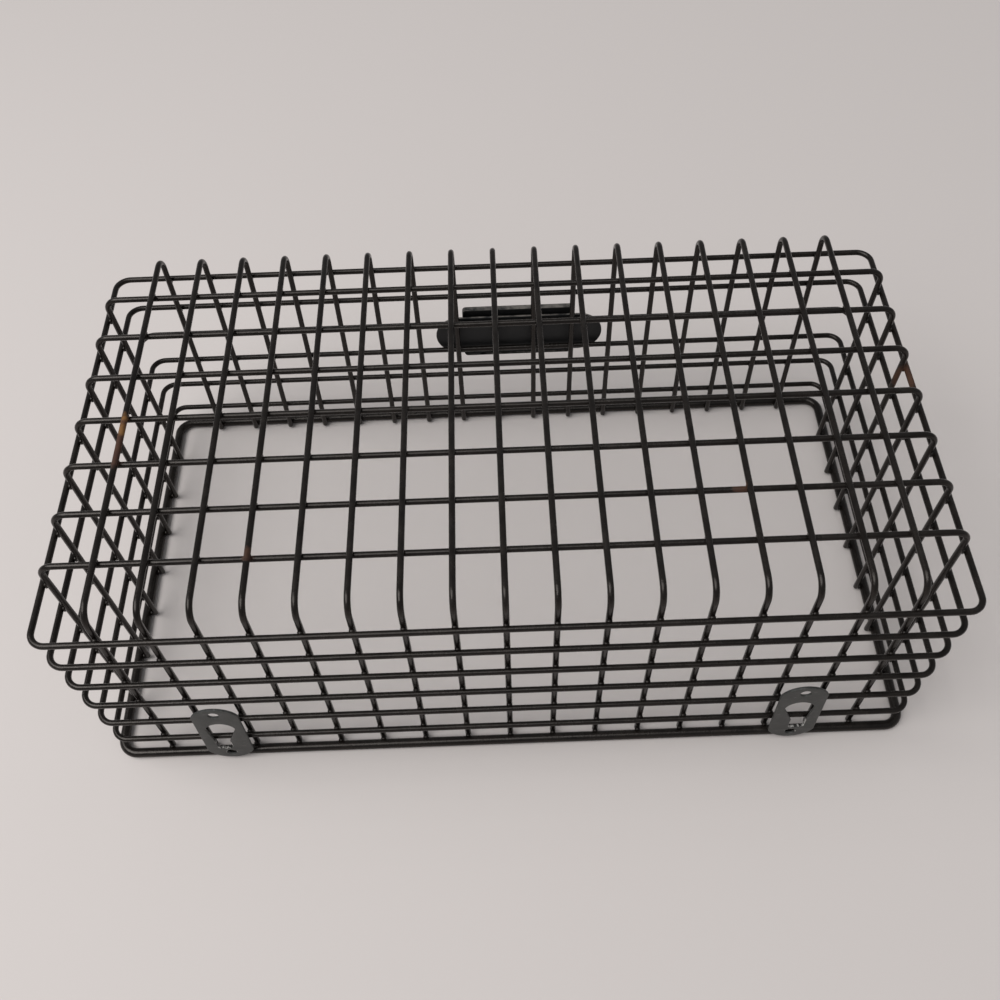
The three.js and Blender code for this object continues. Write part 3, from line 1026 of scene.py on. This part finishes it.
class BASKET_OT_stage(bpy.types.Operator):
    """Lays the floor and sets the light and the camera"""

    bl_idname = "basket.stage"
    bl_label = "Stage"

    def execute(self, context):
        look = context.scene.basket_stage
        choose()
        bpy.ops.mesh.primitive_plane_add(size=look.floor_size, location=(0, 0, -look.floor_gap))
        floor = bpy.context.object
        floor.name = "floor"
        material, _, shader = new_finish("Pale Floor", 0.9)
        shader.inputs["Base Color"].default_value = look.floor
        shader.inputs["Specular IOR Level"].default_value = 0.15
        floor.data.materials.append(material)
        key = self.add_lamp("key_lamp", "AREA", look.key_place, look.key_power)
        key.shape = "RECTANGLE"
        key.size = look.key_length
        key.size_y = look.key_width
        window = self.add_lamp("window_light", "SUN", look.window_place, look.window)
        window.angle = look.window_spread
        world = bpy.data.worlds.new("Even Light")
        context.scene.world = world
        world.use_nodes = True
        sky = world.node_tree.nodes["Background"]
        sky.inputs["Color"].default_value = look.sky_tint
        sky.inputs["Strength"].default_value = look.sky
        view = bpy.data.cameras.new("photo_view")
        view.sensor_width = 36.0
        view.lens = look.camera_lens
        view.clip_start = 0.01
        camera = bpy.data.objects.new("photo_view", view)
        camera.location = look.camera_place
        camera.rotation_euler = look.camera_turn
        context.scene.collection.objects.link(camera)
        context.scene.camera = camera
        context.scene.view_settings.view_transform = "Standard"
        return {"FINISHED"}

    def add_lamp(self, name, kind, place, power):
        """A lamp that faces the basket; returns its settings."""
        bpy.ops.object.light_add(type=kind, location=place)
        lamp = bpy.context.object
        lamp.name = name
        lamp.data.energy = power
        back = Vector(place) - Vector(bpy.context.scene.basket_stage.aim)
        lamp.rotation_euler = back.to_track_quat("Z", "Y").to_euler()
        return lamp.data


class BASKET_PT_tools(bpy.types.Panel):
    """Lists the basket's pieces and sizes"""

    bl_label = "Wire Basket"
    bl_idname = "BASKET_PT_tools"
    bl_space_type = "VIEW_3D"
    bl_region_type = "UI"
    bl_category = "Basket"

    def draw(self, context):
        column = self.layout.column(align=True)
        for piece in PIECES:
            column.operator(piece.bl_idname)
        for group in GROUPS:
            values = getattr(context.scene, group)
            box = self.layout.box()
            for name in values.bl_rna.properties.keys():
                if name not in ("rna_type", "name"):
                    box.prop(values, name)


PIECES = (
    BASKET_OT_rim_rod,
    BASKET_OT_ring_wires,
    BASKET_OT_cross_wires,
    BASKET_OT_long_wires,
    BASKET_OT_weld_beads,
    BASKET_OT_hanger_plates,
    BASKET_OT_label_plate,
    BASKET_OT_label_frame,
    BASKET_OT_stage,
)
GROUPS = {
    "basket_wires": WireSizes,
    "basket_plates": PlateSizes,
    "basket_paint": PaintLook,
    "basket_stage": StageLook,
}
CLASSES = (*GROUPS.values(), *PIECES, BASKET_PT_tools)


def register():
    for made in CLASSES:
        bpy.utils.register_class(made)
    for name, group in GROUPS.items():
        setattr(bpy.types.Scene, name, PointerProperty(type=group))


def unregister():
    for name in GROUPS:
        delattr(bpy.types.Scene, name)
    for made in reversed(CLASSES):
        bpy.utils.unregister_class(made)


def main():
    register()
    bpy.ops.basket.rim_rod()
    bpy.ops.basket.ring_wires()
    bpy.ops.basket.cross_wires()
    bpy.ops.basket.long_wires()
    bpy.ops.basket.weld_beads()
    bpy.ops.basket.hanger_plates()
    bpy.ops.basket.label_plate()
    bpy.ops.basket.label_frame()
    bpy.ops.basket.stage()
    object_mode()


if __name__ == "__main__":
    main()
